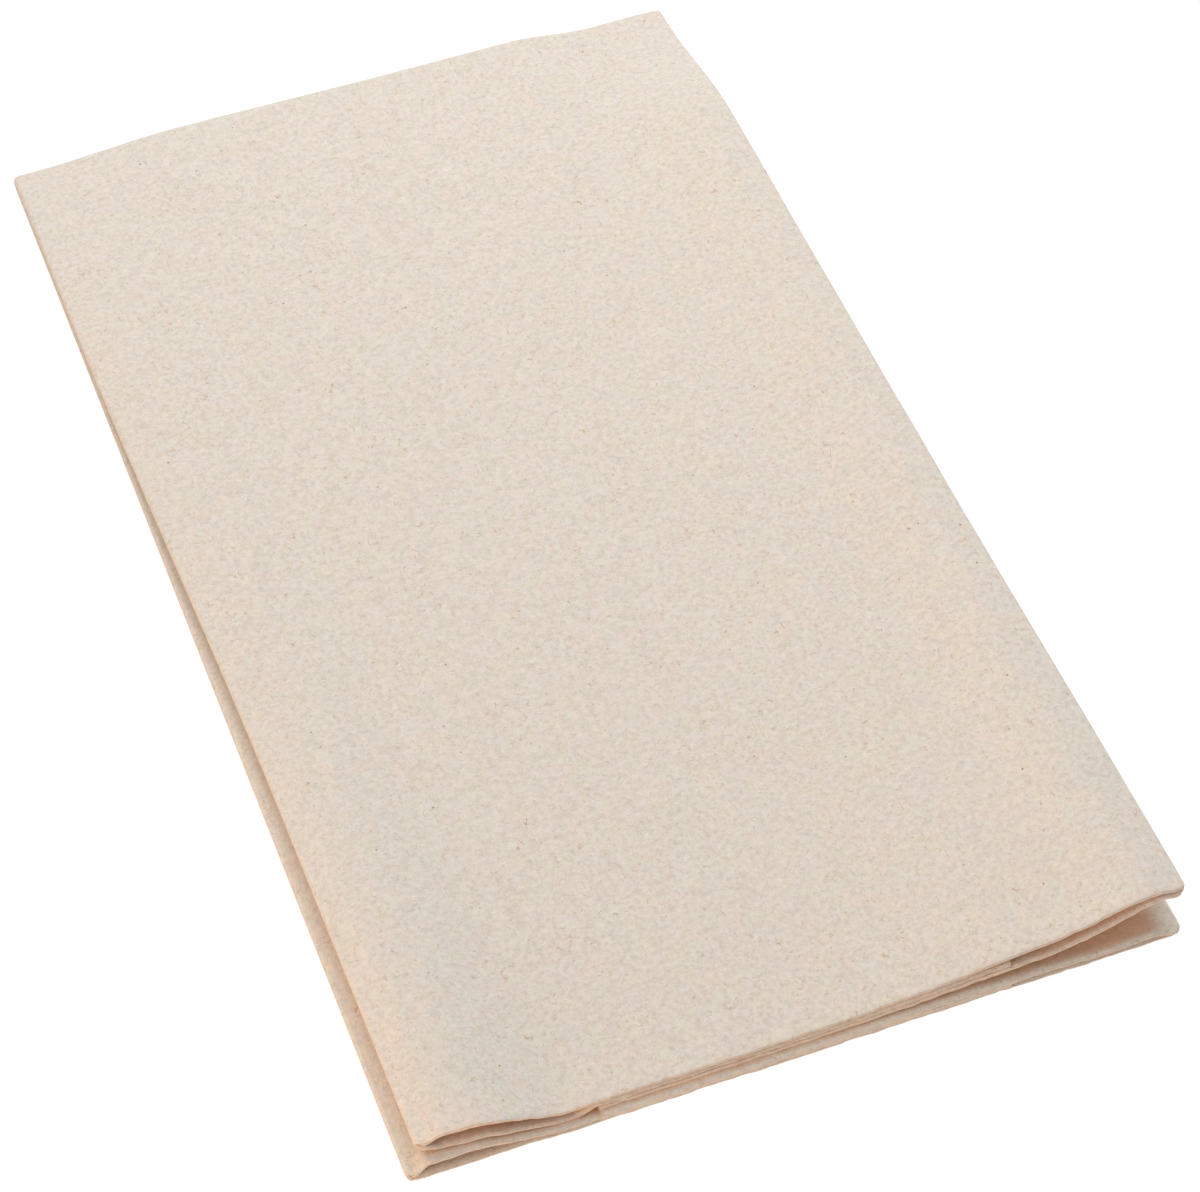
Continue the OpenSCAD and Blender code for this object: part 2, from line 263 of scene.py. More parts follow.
class TowelPaper(bpy.types.PropertyGroup):
    """Colours of the unbleached paper and of the painted shade between its layers, and the scale of its
    pattern.
    """

    pink: colour("Pinkish paper", (0.782, 0.669, 0.598), "Colour where the paper is pinkish")
    green: colour("Greenish paper", (0.732, 0.701, 0.612), "Colour where it is greenish grey")
    yellow: colour("Yellowish paper", (0.770, 0.701, 0.580), "Colour where it is yellowish")
    lilac: colour("Lilac paper", (0.744, 0.677, 0.630), "Colour where it is pale and cool")
    fibre: colour("Fibre", (0.50, 0.31, 0.18), "Colour of the brown fibres")
    speck: colour("Speck", (0.16, 0.10, 0.07), "Colour of the dark specks")
    # Colour of the painted shade between the layers, not a tint of the paper itself
    painted_fold_shade: colour("Sheltered tint", (0.90, 0.60, 0.41), "Tint of the paper between two layers")
    cloud_size: length("Cloud size", 3.2, "Size of the soft clouds of colour")
    grain_size: length("Grain size", 0.9, "Size of the fine grain")
    fibre_size: length("Fibre size", 1.3, "Length of the brown fibres")
    speck_gap: length("Speck gap", 2.8, "Size of the cells that may hold a dark speck")
    grain_depth: length("Grain depth", 0.10, "Height of the fine grain in the bump")
    grain_tone: amount("Grain tone", 0.638, "How much darker the hollows of the grain are")
    grain_warmth: FloatVectorProperty(
        name="Grain warmth", description="How much the hollows darken red, green and blue",
        default=(0.90, 1.01, 1.24), size=3, subtype="COLOR", min=0.0)


class TowelStage(bpy.types.PropertyGroup):
    """Camera, lamps and floor."""

    azimuth: angle("Azimuth", 20.10, "Turn of the view to the right of +Y")
    elevation: angle("Elevation", 49.85, "Angle at which the camera looks down")
    roll: angle("Roll", 0.65, "Turn of the camera about its view")
    aim_x: length("Aim across", 2.34, "Place on the floor at the picture's middle, across", -100.0)
    aim_y: length("Aim along", -16.92, "Place on the floor at the picture's middle, along", -100.0)
    distance: length("Distance", 580.6, "Distance from the camera to that point")
    lens_mm: amount("Lens", 109.67, "Focal length in millimetres, for a sensor 36 mm wide", 20.0, 300.0)
    key_place: place("Key place", (160, 380, 540), "Place of the key lamp")
    key_aim: place("Key aim", (0, 30, 0), "Point that the key lamp shines at")
    key_size: length("Key size", 400.0, "Side of the key lamp")
    key_power: amount("Key power", 2.2, "Power of the key lamp, in watts", 0.0, 100.0)
    fill_place: place("Fill place", (-420, -300, 80), "Place of the low fill lamp")
    fill_aim: place("Fill aim", (-30, -60, 0), "Point that the fill lamp shines at")
    fill_size: length("Fill size", 200.0, "Side of the fill lamp")
    fill_power: amount("Fill power", 1.0, "Power of the fill lamp, in watts", 0.0, 100.0)
    fill_tint: colour("Fill tint", (1.0, 0.58, 0.28), "Colour of the fill lamp")
    sky: amount("Sky", 0.59, "Strength of the plain light from all sides", 0.0, 5.0)


def ease(a, b, v):
    """0 before a, 1 after b and smooth in between: 3 q squared less 2 q cubed, q the share gone."""
    q = np.clip((v - a) / (b - a), 0.0, 1.0)
    return q * q * (3.0 - 2.0 * q)


def share(a, b, v):
    """0 before a, 1 after b and straight in between."""
    return np.clip((v - a) / (b - a), 0.0, 1.0)


def eased_sum(steps, v):
    """Sum of eased steps, each given as its share and its two distances in millimetres."""
    return sum(part * ease(a * MM, b * MM, v) for part, a, b in steps)


def drift(seed, u, v, cell):
    """Smooth random heights from -1 to 1: a lattice of random values, blended over each cell."""
    lattice = np.random.default_rng(seed).uniform(-1.0, 1.0, LATTICE)
    p, q = np.broadcast_arrays(np.asarray(u) / cell, np.asarray(v) / cell)
    i, j = np.floor(p).astype(int), np.floor(q).astype(int)
    a, b = ease(0.0, 1.0, p - i), ease(0.0, 1.0, q - j)

    def corner(di, dj):
        """Random value at one corner of each place's cell."""
        return lattice[(i + di) % LATTICE[0], (j + dj) % LATTICE[1]]

    near_row = corner(0, 0) * (1 - a) + corner(1, 0) * a
    far_row = corner(0, 1) * (1 - a) + corner(1, 1) * a
    return near_row * (1 - b) + far_row * b


def finer(values, splits):
    """The same values with each step between two of them split into equal smaller ones."""
    steps = (len(values) - 1) * splits
    return np.interp(np.arange(steps + 1) / splits, np.arange(len(values)), values)


class Fold:
    """The folded sheet's shape. x runs across, s is the share of a half's length: 0 at the open
    end, 1 at the half fold."""

    def __init__(self, scene):
        self.sheet, self.spring, self.reach = scene.towel_sheet, scene.towel_spring, scene.towel_reach
        self.edges, self.mesh = scene.towel_edges, scene.towel_mesh
        sheet = self.sheet
        self.pitch = sheet.paper_t + sheet.layer_gap
        self.panel_w = float(HIGH[0] - LOW[0]) - sheet.paper_t
        self.half_l = float(HIGH[1] - LOW[1]) / 2
        self.flap_w = (sheet.sheet_w - self.panel_w) / 2
        self.nose_r = sheet.nose_air + sheet.paper_t / 2
        self.x_left = self.nose_r - self.panel_w / 2
        self.x_right = -self.x_left
        self.x_left_flap_end = self.flap_w - self.panel_w / 2
        self.x_right_flap_end = -self.x_left_flap_end
        # Height of the half fold: six layers, with its puff
        turn_h = 5 * self.pitch + sheet.paper_t + sheet.turn_puff
        self.y_turn = self.half_l - sheet.turn_roundness * turn_h / 2
        self.run = self.y_turn + self.half_l

    def free(self, s):
        """1 where the sides are free to spring, less the grip where the half fold holds them."""
        return 1 - self.spring.grip * ease(self.reach.grip_start, 1.0, s)

    def near(self, s):
        """Closeness to the open end: 1 there, 0 from the right side's reach on."""
        return 1 - ease(0.0, self.reach.right_reach, s)

    def left_spring(self, x, s):
        """Spring of the left folds: full near the folds and the open end, dying out from both."""
        start = self.x_left + self.reach.left_full_w
        over_width = 1 - ease(start, start + self.reach.left_air_w, x)
        rest = self.spring.left_air_rest
        over_length = rest + (1 - rest) * (1 - ease(0.0, self.reach.left_reach, s))
        return over_width * over_length * self.free(s)

    def shut(self, width, from_crease):
        """How far a fold is shut near its crease: 1 at the crease, 0 from the given width on."""
        return 1 - ease(0.0, width, from_crease)

    def right_low(self, x, s):
        """Air in the lower right fold: grows towards the fold, and is shut at its crease."""
        r = self.reach
        grown = ease(self.x_right - r.right_low_air_w, self.x_right - r.right_low_air_peak, x)
        return (self.spring.right_low_air * self.free(s) * grown
                * (1 - self.shut(r.right_crease_w, self.x_right - x)))

    def right_up(self, x, s):
        """Air in the upper right fold: a hump a little inside the nose, highest at the open end."""
        rest, nose = self.spring.up_air_rest, self.spring.up_air_nose
        peak = self.x_right - self.reach.right_up_air_peak
        return (self.spring.right_up_air * self.free(s) * (rest + (1 - rest) * self.near(s))
                * ease(self.x_right - self.reach.right_up_air_w, peak, x)
                * (1 - (1 - nose) * ease(peak, self.x_right, x)))

    def half_lift(self, x, s):
        """Lift of the upper half: powers of a straight ramp towards the right, a wedge close to
        the folds, and a lip at the open corner."""
        b, r = self.spring, self.reach
        ramp = share(self.x_right - r.right_lift_w, self.x_right, x)
        wedge = ease(self.x_right - r.right_wedge_w, self.x_right, x)
        lip = ease(self.x_right - r.right_lip_w, self.x_right - r.right_lip_full, x)
        at_end = b.right_end_lift * ramp ** b.end_lift_power + b.right_lip_lift * lip
        along = b.right_lift * ramp ** b.lift_power + b.right_wedge * wedge
        return self.free(s) * (along + self.near(s) * at_end)

    def crown(self, x, s):
        """Crown of the outer panel towards the half fold: a quarter cosine from its middle."""
        across = math.pi / 2 * share(0.0, self.panel_w / 2, np.abs(x))
        return self.sheet.turn_puff * (1 - self.near(s)) * np.cos(across)

    def underside(self, part, up, x, s):
        """Height of the underside of one layer: the pitch of the layers below it and the air in
        and between the folds below it."""
        b, pitch = self.spring, self.pitch
        over_left = 1 - ease(self.x_left_flap_end, self.x_left_flap_end + self.sheet.flap_ramp, x)
        ramp = self.sheet.flap_drop if part == LEFT_FLAP else self.sheet.panel_ramp
        over_right = ease(self.x_right_flap_end - ramp, self.x_right_flap_end, x)
        if part == PANEL and not up:
            return 0.0 * x + 0.0 * s
        if part == LEFT_FLAP and not up:
            shut = self.shut(self.reach.left_low_crease_w, x - self.x_left)
            return pitch + b.left_low_air * self.left_spring(x, s) * (1 - shut)
        low_right = pitch * (1 + over_left) + self.right_low(x, s)
        if part == RIGHT_FLAP:
            return low_right + ((pitch + self.half_lift(x, s)) if up else 0.0)
        left_air = b.left_low_air + b.left_mid_air
        closing = b.left_up_air * self.shut(self.reach.left_up_crease_w, x - self.x_left)
        if part == LEFT_FLAP:
            return (pitch * (2 + 2 * over_right) + self.half_lift(x, s)
                    + (left_air + (1 - b.panel_closes) * closing) * self.left_spring(x, s))
        return (pitch * (1 + 2 * over_left + 2 * over_right)
                + self.half_lift(x, s) + self.crown(x, s)
                + (left_air + b.left_up_air - b.panel_closes * closing) * self.left_spring(x, s)
                + self.right_low(x, s) + self.right_up(x, s))

    def drawn_in(self, x, up, s):
        """Place across after the folds draw in: layers beside a fold follow it by a share."""
        back = 0.0
        if up:
            back = self.spring.left_back * (1 - ease(self.reach.back_from, self.reach.back_to, s))
        return (x + back * share(self.x_right_flap_end, self.x_left, x)
                - self.spring.right_draw * (1 - s) * share(self.x_left_flap_end, self.x_right, x))

    def rows(self, splits=1):
        """Samples across the sheet: the part, the place or angle in it, the distance to the
        flap's free edge and the distance along the opened sheet. Each step on a flap or the panel
        is split into that many finer ones, and the steps round a nose stay."""
        strip = FLAP_STRIP * MM
        cell, straight_w = self.mesh.cell_across, self.flap_w - self.nose_r
        flap_rows = int(round((straight_w - strip[-1]) / cell))
        panel_rows = int(round((self.x_right - self.x_left) / cell))
        flap = finer(np.linspace(strip[-1], straight_w, flap_rows), splits)
        flap = np.concatenate([strip[:-1], flap])
        panel = finer(np.linspace(self.x_left, self.x_right, panel_rows), splits)
        nose = np.linspace(0.0, 180.0, self.mesh.nose_steps + 1)[1:-1]
        runs = (flap, nose, panel, nose, flap)
        part = np.concatenate([np.full(len(run), k) for k, run in enumerate(runs)])
        at = np.concatenate([self.x_left_flap_end - flap, nose, panel, nose,
                             (self.x_right_flap_end + flap)[::-1]])
        far = [np.full(len(run), NO_EDGE) for run in (nose, panel, nose)]
        edge = np.concatenate([flap, *far, flap[::-1]])
        bend = 2 * self.nose_r * nose / 180.0
        across = np.concatenate([
            flap, straight_w + bend, panel + self.panel_w / 2 + self.flap_w,
            self.sheet.sheet_w - straight_w - 2 * self.nose_r + bend,
            self.sheet.sheet_w - flap[::-1]])
        return part, at, edge, across

    def stops(self):
        """Shares of a half's length, closer together at the cut edge: those of the fine strip,
        then even steps raised to a power."""
        strip = END_STRIP * MM
        steps = int(round((self.run - strip[-1]) / self.mesh.cell_along))
        start = strip[-1] / self.run
        body = start + (1 - start) * np.linspace(0.0, 1.0, steps) ** CROWDING
        return np.concatenate([strip[:-1] / self.run, body])

    def half(self, part, at, up, s, skin):
        """Points x, z of all rows at the shares s. Flat layers lie on their undersides, and a nose
        is half an ellipse between its flap and the panel. skin is the signed half thickness."""
        part, at, s = part[:, None], at[:, None], s[None, :]
        t = self.sheet.paper_t
        x, z = at + 0 * s, 0 * at + 0 * s
        for k in (LEFT_FLAP, PANEL, RIGHT_FLAP):
            here = (part == k)[:, 0]
            outward = 1.0 if (k == PANEL) == up else -1.0
            z[here] = self.underside(k, up, at[here], s) + t / 2 + outward * skin[here]
            x[here] = self.drawn_in(at[here] + 0 * s, up, s)
        for k, flap, x0, way in ((LEFT_NOSE, LEFT_FLAP, self.x_left, -1.0),
                                 (RIGHT_NOSE, RIGHT_FLAP, self.x_right, 1.0)):
            here = (part == k)[:, 0]
            z_flap = self.underside(flap, up, np.full_like(s, x0), s)
            z_panel = self.underside(PANEL, up, np.full_like(s, x0), s)
            half_h = np.abs(z_panel - z_flap) / 2
            rise = np.radians(at[here] - 90.0 if (k == LEFT_NOSE) == up else 90.0 - at[here])
            bulge = way * (self.nose_r + skin[here]) * np.cos(rise)
            x[here] = self.drawn_in(x0 + 0 * s, up, s) + bulge
            z[here] = (z_flap + z_panel + t) / 2 + (half_h + skin[here]) * np.sin(rise)
        return x, z

    def flared(self, d):
        """Thickness at the distance d from a cut edge, as a share of the paper's own: 1 and the
        flare, which falls with the square."""
        return 1.0 + self.edges.flare * (1.0 - share(0.0, self.edges.flare_w, d)) ** 2

    def bevelled(self, d):
        """Depth of the worn strip, as a share of half the thickness: a quarter of an ellipse."""
        q = 1.0 - share(0.0, self.edges.bevel_w, d)
        return self.edges.bevel * (1.0 - np.sqrt(1.0 - q * q))

    def worn(self, part, at, up, outer):
        """1 where the cut edge of a layer is worn down: on its side that faces up, which turns over
        from one layer to the other round the noses, and not where layers are pressed together."""
        pressed = (at > self.x_right_flap_end) & (at < self.x_left_flap_end)
        loose = np.where(pressed, 0.0, 1.0)
        if outer:
            left, panel, right = loose * (not up), float(up), float(not up)
        else:
            left, panel, right = float(up), loose * (not up), loose * up
        panel_side = np.where(part == LEFT_NOSE, at / 180.0, 1.0 - at / 180.0)
        round_nose = panel_side if up == outer else 1.0 - panel_side
        flat = [side + 0 * at for side in (left, panel, right)]
        return np.select([part == LEFT_FLAP, part == PANEL, part == RIGHT_FLAP], flat, round_nose)

    def cut_back(self, part, at, up):
        """How far each row's cut edge stands back at the open end: a step for each layer, what is
        worn off as a circle at the corners, and the half's own line across."""
        e = self.edges
        x = np.select([part == LEFT_NOSE, part == RIGHT_NOSE], [self.x_left, self.x_right], at)
        layers = np.select([part == PANEL, part == RIGHT_FLAP], [2.0, 0.0], 1.0)
        if up:
            line = np.interp(x, [self.x_left, self.x_left + e.back_left_w, 0.0, self.x_right],
                             [e.back_left, e.back_middle, e.back_middle, e.back_right])
        else:
            line = np.interp(x, [self.x_left, self.x_left + e.back_low_w], [e.back_low, 0.0])
        turn = self.nose_r * (1 - np.sin(np.radians(at)))
        beside = self.nose_r + np.minimum(np.abs(at - self.x_left), np.abs(at - self.x_right))
        from_tip = np.where((part == LEFT_NOSE) | (part == RIGHT_NOSE), turn, beside)
        inside = CORNER_SHARE * e.corner * (1 - share(0.0, e.corner, from_tip))
        worn_off = e.corner - np.sqrt(e.corner ** 2 - inside ** 2)
        return layers * e.edge_step + worn_off + line

    def cut_edge(self, part, at, across, up):
        """Place along of each row's cut edge: where it stands back to, and its random waves."""
        start = self.edges.seed + (1 if up else 0)
        waves = sum(part_share * drift(start + draw, across, row, size * MM)
                    for draw, part_share, row, size in EDGE_WAVES)
        return self.cut_back(part, at, up) + self.edges.wander * waves - self.half_l

    def skin_points(self, side, splits=1):
        """All points of one face of the sheet: in along the lower half, round the half fold by
        half ellipses, and back along the upper half."""
        part, at, edge, across = self.rows(splits)
        s = self.stops()
        half_t = side * self.sheet.paper_t / 2
        full = half_t * self.flared(edge)[:, None] * self.flared(s * self.run)[None, :]
        bevel = self.bevelled(s * self.run)[None, :]
        halves = []
        for up in (False, True):
            worn = self.worn(part, at, up, side > 0)[:, None]
            x, z = self.half(part, at, up, s, full - half_t * worn * bevel)
            halves.append((x, self.along(self.cut_edge(part, at, across, up), s), z))
        (x1, y1, z1), (x2, y2, z2) = halves
        rise = np.radians(np.linspace(-90.0, 90.0, self.mesh.turn_steps + 1)[1:-1])
        middle, half_h = (z1[:, -1:] + z2[:, -1:]) / 2, (z2[:, -1:] - z1[:, -1:]) / 2
        xt = (x1[:, -1:] + x2[:, -1:]) / 2 + 0 * rise
        yt = self.y_turn + self.sheet.turn_roundness * half_h * np.cos(rise)
        zt = middle + half_h * np.sin(rise)
        points = np.stack([np.concatenate(trio, axis=1) for trio in (
            (x1, xt, x2[:, ::-1]), (y1, yt, y2[:, ::-1]), (z1, zt, z2[:, ::-1]))], axis=-1)
        return self.settled(points, edge)

    def along(self, cut, s):
        """Places along at the shares s: straight from each row's cut edge to the half fold."""
        return cut[:, None] + (self.y_turn - cut[:, None]) * s

    def painted_fold_shade(self, side, splits=1):
        """How much painted shade each point of one face gets: 0 outside, towards 1 deep between two
        layers, where shade falls. Inside a fold it grows with the distance from the open end, and
        between the two halves with the distance from the side folds too."""
        part, at = self.rows(splits)[:2]
        s = self.stops()
        turn = np.ones(self.mesh.turn_steps - 1)
        from_end = np.concatenate([s, turn, s[::-1]])[None, :] * self.run
        lower = np.arange(from_end.shape[1])[None, :] < len(s)
        if side < 0:
            low, up = eased_sum(IN_LOW_FOLD, from_end), eased_sum(IN_UP_FOLD, from_end)
            deep = np.where(lower, low, up)
            return np.broadcast_to(deep, (len(part), deep.shape[1]))
        front = (self.cut_back(part, at, True) - self.cut_back(part, at, False))[:, None]
        low_from, low_to = (front + d * MM for d in BETWEEN_LOW)
        up_from, up_to = (d * MM for d in BETWEEN_UP)
        deep = np.where(lower, ease(low_from, low_to, from_end), ease(up_from, up_to, from_end))
        flap = (part == LEFT_FLAP) | (part == RIGHT_FLAP)
        start = np.where(part == LEFT_FLAP, self.x_left, self.x_right)
        from_nose = np.where(flap, np.abs(at - start), 0.0)[:, None]
        beside = ease(*(d * MM for d in BESIDE_NOSE), from_nose)
        closes = GAP_SHARE + (1 - GAP_SHARE) * ease(*(d * MM for d in GAP_CLOSES), from_nose)
        closed = np.where((part == RIGHT_FLAP)[:, None], closes, 1.0)
        return np.where(flap[:, None], deep * closed * beside, 0.0)

    def settled(self, points, edge):
        """Slow unevenness of the whole stack: heights are stretched by a share that depends on the
        place alone, so layers never cross, and the stack is pressed down at its open end."""
        x, y, z = points[..., 0], points[..., 1], points[..., 2]
        seed, r = self.edges.seed, self.reach
        slow = sum(part_share * drift(seed + draw, x + OFFSET, y + OFFSET, size * MM)
                   for draw, part_share, size in HEIGHT_WAVES)
        dip = (self.spring.end_dip * (1 - ease(0.0, r.dip_reach, y + self.half_l))
               * ease(r.dip_left_from, r.dip_left_to, x)
               * (1 - ease(r.dip_right_from, r.dip_right_to, x)))
        z = z * (1 + self.edges.cockle * slow - dip)
        draw, row, size, reach = FREE_EDGE_WAVE
        at_edge = (1 - ease(0.0, reach * MM, edge))[:, None]
        wander = self.edges.wander * drift(seed + draw, row, y, size * MM) * at_edge
        return np.stack([x + wander, y, z], axis=-1)


def grid_faces(index):
    """Quads between the points of a grid, given as an array of their numbers."""
    quad = np.stack([index[:-1, :-1], index[:-1, 1:], index[1:, 1:], index[1:, :-1]], axis=-1)
    return quad.reshape(-1, 4)


def seam_faces(fine, coarse, fine_first):
    """Faces between a line of fine points and a line of coarse ones, in groups of equal size.
    fine holds one list of numbers for each step of the coarse line, both its ends included."""
    groups = {}
    for k, line in enumerate(fine):
        here, ahead = coarse[k], coarse[k + 1]
        face = [line[0], here, ahead, *line[:0:-1]] if fine_first else [here, *line, ahead]
        groups.setdefault(len(face), []).append(face)
    return [np.array(group) for group in groups.values()]


def face_groups(strip_low, body, strip_high, splits, flip):
    """All faces of one side of the sheet: two fine strips, the body and the seams between."""
    low_steps = [strip_low[a:b + 1, -1] for a, b in zip(splits[:-1], splits[1:])]
    high_steps = [strip_high[a:b + 1, 0] for a, b in zip(splits[:-1], splits[1:])]
    groups = [grid_faces(strip_low), grid_faces(body), grid_faces(strip_high)]
    groups += seam_faces(low_steps, body[:, 0], True)
    groups += seam_faces(high_steps, body[:, -1], False)
    return [group[:, ::-1] if flip else group for group in groups]


def rim_faces(outer, inner, flip):
    """Quads of the strip between two lines of points."""
    quad = np.stack([outer[:-1], outer[1:], inner[1:], inner[:-1]], axis=-1)
    return quad[:, ::-1] if flip else quad


def rim_map(quads, k, width, flip):
    """Places of a rim's corners on the map, which is that wide: small cells in a row."""
    step_u, step_v = (size * MM / width for size in RIM_CELL)
    corner = np.zeros((quads, 4, 2))
    corner[..., 0] = (np.arange(quads) * step_u)[:, None] + np.array([0, step_u, step_u, 0])
    corner[..., 1] = RIM_MAP_LOW + RIM_MAP_STEP * k + np.array([0, 0, step_v, step_v])
    return corner[:, ::-1] if flip else corner


def flat_run(parts):
    """All values of several arrays in one run, one array after the other."""
    return np.concatenate([part.ravel() for part in parts]).astype(np.float32)


def new_mesh(name, points, groups, rims, uv, painted_shade):
    """A mesh object from whole arrays: points, groups of faces with equally many corners, of which
    the last few are flat rims, and a UV pair and a painted shade value for each of their corners."""
    mesh = bpy.data.meshes.new(name)
    corners = np.concatenate([group.ravel() for group in groups])
    sides = np.concatenate([np.full(len(group), group.shape[1]) for group in groups])
    smooth_count = len(sides) - sum(len(group) for group in groups[-rims:])
    mesh.vertices.add(len(points))
    mesh.vertices.foreach_set("co", points.astype(np.float32).ravel())
    mesh.loops.add(len(corners))
    mesh.loops.foreach_set("vertex_index", corners.astype(np.int32))
    mesh.polygons.add(len(sides))
    mesh.polygons.foreach_set("loop_start", (np.cumsum(sides) - sides).astype(np.int32))
    mesh.polygons.foreach_set("use_smooth", np.arange(len(sides)) < smooth_count)
    mesh.uv_layers.new(name="sheet").data.foreach_set("uv", flat_run(uv))
    shade = mesh.attributes.new("painted_shade", "FLOAT", "CORNER")
    shade.data.foreach_set("value", flat_run(painted_shade))
    mesh.update(calc_edges=True)
    mesh.validate()
    obj = bpy.data.objects.new(name, mesh)
    bpy.context.collection.objects.link(obj)
    return obj


def side_arrays(fold, side):
    """One side of the sheet: its points with their nap, their places on the opened sheet, their
    painted shade and the numbers of the points in the low strip, the body and the high strip."""
    last = len(END_STRIP) - 1
    seed = fold.edges.seed + NAP_DRAWS[0 if side > 0 else 1]
    parts = []
    for splits in (fold.mesh.edge_splits, 1):
        points = fold.skin_points(side, splits)
        across = fold.rows(splits)[3]
        down = np.linspace(0.0, fold.sheet.sheet_l, points.shape[1])
        lift = fold.edges.nap * drift(seed, across[:, None] + side, down[None, :], NAP_SIZE * MM)
        points[..., 2] += lift * np.minimum(1.0, points[..., 2] / (NAP_FULL * MM))
        flat = np.stack(np.broadcast_arrays(across[:, None], down[None, :]), axis=-1)
        parts.append((points, flat, fold.painted_fold_shade(side, splits)))
    fine, coarse = parts
    low, body, high = slice(0, last + 1), slice(last + 1, -last - 1), slice(-last - 1, None)
    chosen = [[array[:, where] for array in part]
              for part, where in ((fine, low), (coarse, body), (fine, high))]
    index, base = [], 0
    for points, flat, painted_shade_values in chosen:
        index.append(base + np.arange(painted_shade_values.size).reshape(painted_shade_values.shape))
        base += painted_shade_values.size
    arrays = [np.concatenate([piece[k].reshape(-1, width) for piece in chosen])
              for k, width in ((0, 3), (1, 2), (2, 1))]
    return arrays, index


def build_sheet(scene):
    """The folded sheet: both faces as grids over the sheet, closed by its four cut edges."""
    fold = Fold(scene)
    # Numbers of the coarse rows among the fine ones, less a hair for rounding
    fine_across = fold.rows(fold.mesh.edge_splits)[3]
    splits = np.searchsorted(fine_across, fold.rows()[3] - 1e-9)
    (points, flat, painted_shade_values), index = side_arrays(fold, 1.0)
    (points_in, flat_in, painted_shade_values_in), index_in = side_arrays(fold, -1.0)
    size = len(points)
    index_in = [part + size for part in index_in]
    map_w = MAP_ROOM * fold.sheet.sheet_w
    flat = np.concatenate([flat / map_w, flat_in / map_w + [0.5, 0.0]])
    painted_shade_values = np.concatenate([painted_shade_values, painted_shade_values_in])[:, 0]
    points = np.concatenate([points, points_in])
    points[:, 2] = np.maximum(points[:, 2], 0.0)
    groups = face_groups(*index, splits, True) + face_groups(*index_in, splits, False)
    uv = [flat[group] for group in groups]
    painted_shade = [painted_shade_values[group] for group in groups]
    first, last = [np.concatenate([part[row] for part in index]) for row in (0, -1)]
    # Each cut edge gets a set amount of painted shade
    rims = [(first, True, OTHER_RIMS), (last, False, OTHER_RIMS),
            (index[0][:, 0], False, LOW_RIM), (index[2][:, -1], True, OTHER_RIMS)]
    for k, (line, flip, rim_painted_shade) in enumerate(rims):
        strip = rim_faces(line, line + size, flip)
        groups.append(strip)
        uv.append(rim_map(len(strip), k, map_w, flip))
        painted_shade.append(np.full(strip.shape, rim_painted_shade))
    return new_mesh("folded_sheet", points, groups, len(rims), uv, painted_shade)


class Nodes:
    """A small helper that adds and links shader nodes."""

    def __init__(self, material):
        material.use_nodes = True
        self.tree = material.node_tree
        self.tree.nodes.clear()

    def fill(self, socket, value):
        """Links another node's output to the socket, or sets a constant on it."""
        if isinstance(value, bpy.types.NodeSocket):
            self.tree.links.new(value, socket)
        else:
            socket.default_value = value

    def add(self, kind, inputs=None, **settings):
        """Adds a node, sets its settings and fills its inputs."""
        node = self.tree.nodes.new(kind)
        for key, value in settings.items():
            setattr(node, key, value)
        for key, value in (inputs or {}).items():
            self.fill(node.inputs[key], value)
        return node

    def math(self, operation, a, b=0.0, clamp=False):
        """One step of arithmetic."""
        return self.add("ShaderNodeMath", {0: a, 1: b}, operation=operation, use_clamp=clamp).outputs[0]

    def triple(self, operation, a, b):
        """One step of arithmetic on all three channels of a colour."""
        return self.add("ShaderNodeVectorMath", {0: a, 1: b}, operation=operation).outputs[0]

    def ramp(self, value, low, high):
        """0 at low, 1 at high and smooth in between."""
        node = self.add("ShaderNodeMapRange", {"Value": value, "From Min": low, "From Max": high},
                        interpolation_type="SMOOTHSTEP")
        return node.outputs["Result"]

    def mix(self, factor, a, b):
        """A blend of two colours."""
        node = self.add("ShaderNodeMix", data_type="RGBA")
        for number, value in ((0, factor), (6, a), (7, b)):
            self.fill(node.inputs[number], value)
        return node.outputs[2]

    def noise(self, vector, size, detail=2.0, roughness=0.5, output="Fac"):
        """Soft noise with cells of the given size in metres."""
        return self.add("ShaderNodeTexNoise", {
            "Vector": vector, "Scale": 1.0 / size, "Detail": detail,
            "Roughness": roughness}).outputs[output]

    def shown_white(self):
        """1 for what the camera sees, directly or in glass or a mirror, and 0 for the light."""
        path = self.add("ShaderNodeLightPath").outputs
        through = self.math("MAXIMUM", path["Is Glossy Ray"], path["Is Transmission Ray"])
        return self.math("MAXIMUM", path["Is Camera Ray"], through)


